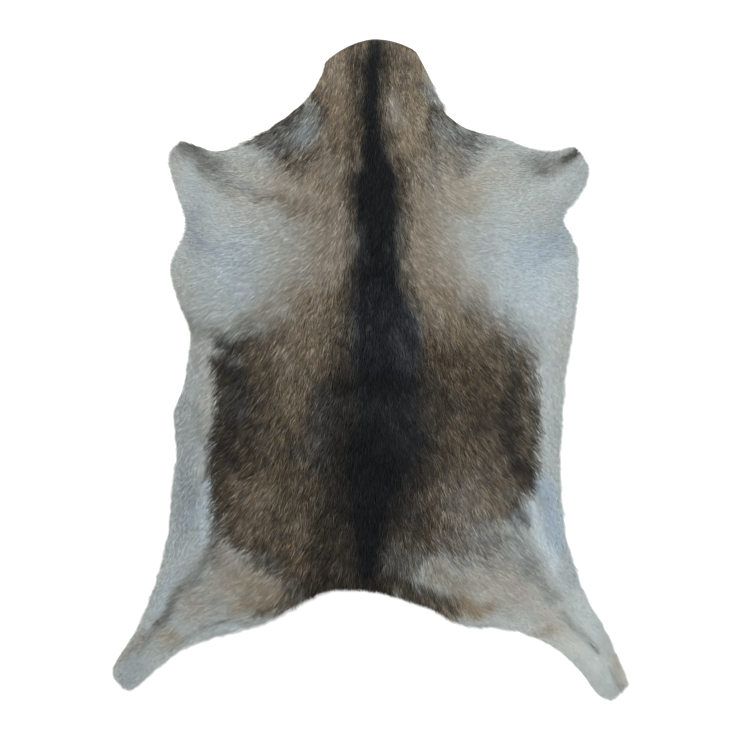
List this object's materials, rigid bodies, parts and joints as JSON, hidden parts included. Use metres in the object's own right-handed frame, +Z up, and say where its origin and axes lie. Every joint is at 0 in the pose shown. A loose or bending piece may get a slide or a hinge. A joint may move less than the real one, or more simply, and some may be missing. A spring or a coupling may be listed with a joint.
{
  "type": "goatskin rug",
  "caption": "Flat goatskin rug: a whole hide with the hair on, with neck, forelegs and hind legs in its outline and a dark stripe along the back.",
  "frame": {"origin": "centre of the rug's bounding box, on the floor under it", "axes": "+Z up through the hair, +Y along the back towards the neck, +X to the right of the neck as seen from above"},
  "size_m": [0.7077, 0.9043, 0.019],
  "materials": {
    "coat": "natural goat hair, brown and black with pale legs and flanks",
    "skin": "tanned suede underside"
  },
  "bodies": {
    "root": {"hide": "coat"}
  },
  "joints": []
}
